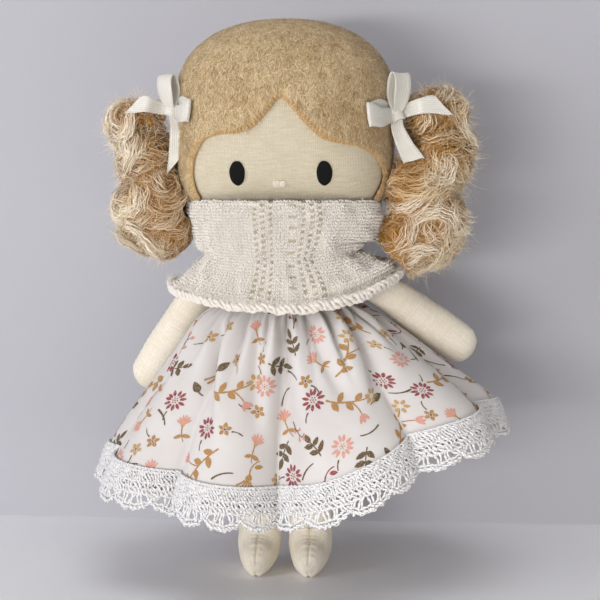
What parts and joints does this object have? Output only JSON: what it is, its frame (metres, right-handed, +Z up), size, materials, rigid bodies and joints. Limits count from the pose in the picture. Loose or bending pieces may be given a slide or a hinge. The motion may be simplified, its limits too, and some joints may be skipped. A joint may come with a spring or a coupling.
{
  "type": "rag doll",
  "caption": "Standing cloth rag doll with a felt hair cap, curly side bunches tied with bows, a knitted cowl and a gathered print skirt with a lace hem; arms, legs and bunches swing.",
  "frame": {"origin": "on the floor, under the middle of the dressed doll's bounding box", "axes": "+Z up, the doll faces -Y, its own left is +X"},
  "size_m": [0.1394, 0.101, 0.18],
  "materials": {
    "linen": "plain-weave linen and cotton, unbleached",
    "wool_felt": "matt brushed wool felt, marled beige",
    "mohair": "curly mohair yarn, soft sheen",
    "satin_ribbon": "ivory satin ribbon with a woven edge",
    "cream_knit": "fine fuzzy knit, cream",
    "printed_cotton": "off-white cotton with a small flower print",
    "cotton_lace": "white mercerised crochet lace",
    "black_felt": "black felt oval",
    "cream_floss": "satin-stitched cotton floss",
    "tie_thread": "waxed sewing thread",
    "elastic": "white braided elastic"
  },
  "bodies": {
    "dressed_body": {"torso": "linen", "head": "linen", "hair_front": "wool_felt", "hair_back": "wool_felt", "right_eye": "black_felt", "left_eye": "black_felt", "nose": "cream_floss", "cowl": "cream_knit", "waist_casing": "printed_cotton", "waist_elastic": "elastic", "skirt_panel": "printed_cotton", "lace_trim": "cotton_lace", "right_bow": "satin_ribbon", "left_bow": "satin_ribbon"},
    "right_arm": {"right_arm": "linen"},
    "left_arm": {"left_arm": "linen"},
    "right_leg": {"right_leg": "linen"},
    "left_leg": {"left_leg": "linen"},
    "right_bunch": {"right_bunch": "mohair", "right_bunch_tie": "tie_thread"},
    "left_bunch": {"left_bunch": "mohair", "left_bunch_tie": "tie_thread"}
  },
  "joints": [
    {"name": "right_shoulder", "type": "hinge", "parent": "dressed_body", "child": "right_arm", "pos_m": [-0.02937, 0.00462, 0.098], "axis": [0, 1, 0], "range_deg": [0, 40], "deforming": ["cowl"]},
    {"name": "left_shoulder", "type": "hinge", "parent": "dressed_body", "child": "left_arm", "pos_m": [0.02023, 0.00462, 0.098], "axis": [0, -1, 0], "range_deg": [0, 17], "deforming": ["cowl"]},
    {"name": "right_hip", "type": "hinge", "parent": "dressed_body", "child": "right_leg", "pos_m": [-0.01307, 0.00462, 0.07], "axis": [1, 0, 0], "range_deg": [-20, 22]},
    {"name": "left_hip", "type": "hinge", "parent": "dressed_body", "child": "left_leg", "pos_m": [0.00393, 0.00462, 0.07], "axis": [1, 0, 0], "range_deg": [-20, 22]},
    {"name": "right_bunch_swing", "type": "hinge", "parent": "dressed_body", "child": "right_bunch", "pos_m": [-0.04457, 0.00462, 0.151], "axis": [0, 1, 0], "range_deg": [0, 50]},
    {"name": "left_bunch_swing", "type": "hinge", "parent": "dressed_body", "child": "left_bunch", "pos_m": [0.03543, 0.00462, 0.151], "axis": [0, -1, 0], "range_deg": [0, 50]}
  ]
}
